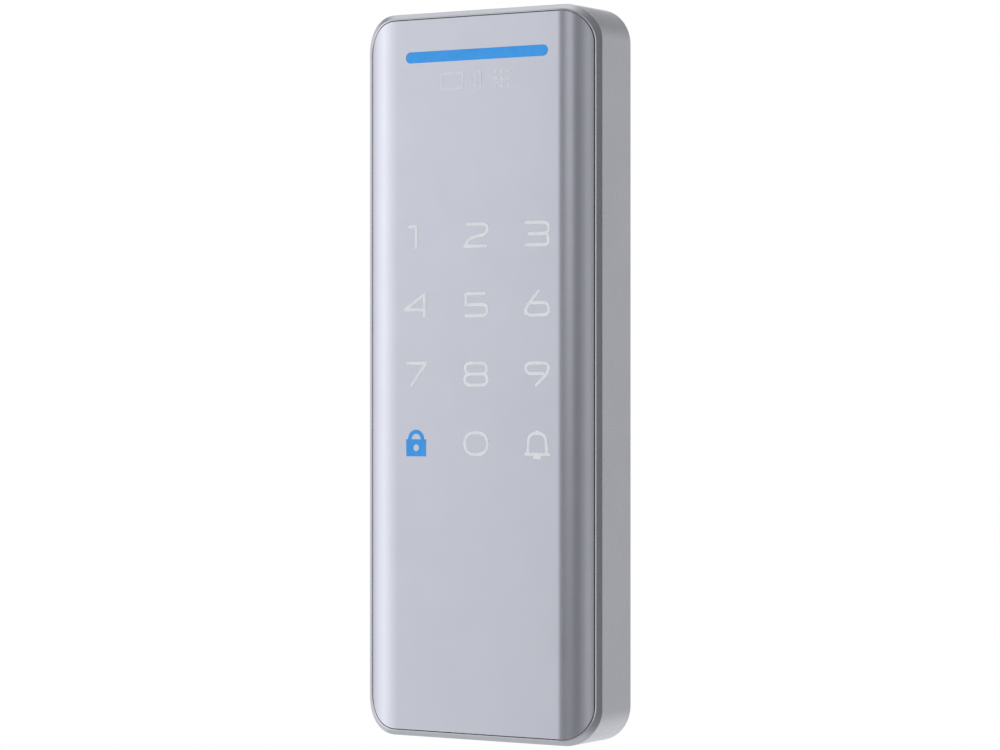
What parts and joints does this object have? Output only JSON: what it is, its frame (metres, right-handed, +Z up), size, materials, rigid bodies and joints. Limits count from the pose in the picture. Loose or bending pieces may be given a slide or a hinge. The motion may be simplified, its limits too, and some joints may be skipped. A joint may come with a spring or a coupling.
{
  "type": "keypad access reader",
  "caption": "Slim wall-mounted access reader with a touch keypad, status light bar and tamper switch, hooked on a steel wall plate and held by a screw from below.",
  "frame": {"origin": "middle of the two wall screw holes, on the wall's surface", "axes": "+Z up along the reader's height, +Y into the wall, +X to the right seen from the front"},
  "size_m": [0.06, 0.017, 0.16],
  "materials": {
    "housing_plastic": "satin silver-painted moulding",
    "panel_plastic": "satin silver coat on a clear panel",
    "tape_black": "matt acrylic foam",
    "light_lens": "frosted, lit blue",
    "legend_white": "translucent print",
    "legend_blue": "translucent print, lit blue",
    "legend_grey": "faint print",
    "film": "frosted film",
    "baffle_plastic": "matt white moulding",
    "board_green": "solder mask over glass fibre",
    "copper": "bare copper",
    "gold": "gold plated",
    "brass_metal": "knurled brass",
    "led_body": "clear resin over ceramic",
    "chip_black": "moulded epoxy",
    "can_metal": "pressed tin plate",
    "ceramic": "fired ceramic",
    "relay_plastic": "moulded plastic",
    "connector_white": "moulded nylon",
    "terminal_green": "moulded polyamide",
    "ferrite": "ferrite-filled sheet",
    "plated_steel": "zinc plated",
    "stainless": "stainless",
    "plate_steel": "galvanised sheet",
    "spring_steel": "drawn wire",
    "cover_plastic": "spark-textured moulding",
    "washer_nylon": "nylon",
    "plunger_plastic": "acetal",
    "gasket_rubber": "closed-cell foam",
    "grommet_rubber": "soft rubber",
    "label_paper": "blank polyester label"
  },
  "bodies": {
    "wall_plate": {"wall_plate": "plate_steel"},
    "screw_washer": {"screw_washer": "washer_nylon"},
    "security_screw": {"security_screw": "stainless"},
    "reader": {"housing": "housing_plastic", "front_panel": "panel_plastic", "panel_tape": "tape_black", "light_bar": "light_lens", "key_legends": "legend_white", "lock_legend": "legend_blue", "card_mark": "legend_grey", "diffuser_film": "film", "light_baffle": "baffle_plastic", "touch_board": "board_green", "touch_electrodes": "copper", "key_leds": "led_body", "status_leds": "led_body", "touch_controller": "chip_black", "touch_board_screws": "plated_steel", "link_plug": "connector_white", "link_socket": "chip_black", "main_board": "board_green", "microcontroller": "chip_black", "reader_chip": "chip_black", "crystal": "can_metal", "power_regulator": "chip_black", "power_inductor": "ferrite", "capacitors": "ceramic", "relay": "relay_plastic", "buzzer": "chip_black", "terminal_block": "terminal_green", "terminal_screws": "plated_steel", "antenna_board": "board_green", "antenna_coil": "copper", "ferrite_sheet": "ferrite", "antenna_pins": "gold", "main_board_screws": "plated_steel", "tamper_switch": "chip_black", "tamper_spring": "spring_steel", "rear_cover": "cover_plastic", "rear_gasket": "gasket_rubber", "cover_screws": "plated_steel", "thread_inserts": "brass_metal", "cable_grommet": "grommet_rubber", "rating_label": "label_paper"},
    "tamper_plunger": {"tamper_plunger": "plunger_plastic"}
  },
  "joints": [
    {"name": "reader_tilt", "type": "hinge", "parent": "wall_plate", "child": "reader", "pos_m": [0, 0, 0.08], "axis": [-1, 0, 0], "range_deg": [0, 8]},
    {"name": "screw_slide", "type": "slide", "parent": "wall_plate", "child": "screw_washer", "axis": [0, 0, -1], "range_m": [0, 0.008]},
    {"name": "screw_turn", "type": "hinge", "parent": "screw_washer", "child": "security_screw", "pos_m": [0, -0.0046, -0.0779], "axis": [0, 0, 1], "range_deg": [0, 5760]},
    {"name": "tamper_press", "type": "slide", "parent": "reader", "child": "tamper_plunger", "axis": [0, -1, 0], "range_m": [0, 0.0012], "stiffness_N_per_m": 400, "deforming": ["tamper_spring"]}
  ],
  "couplings": [
    {"joint": "screw_turn", "follows": "screw_slide", "rad_per_m": 12566}
  ]
}
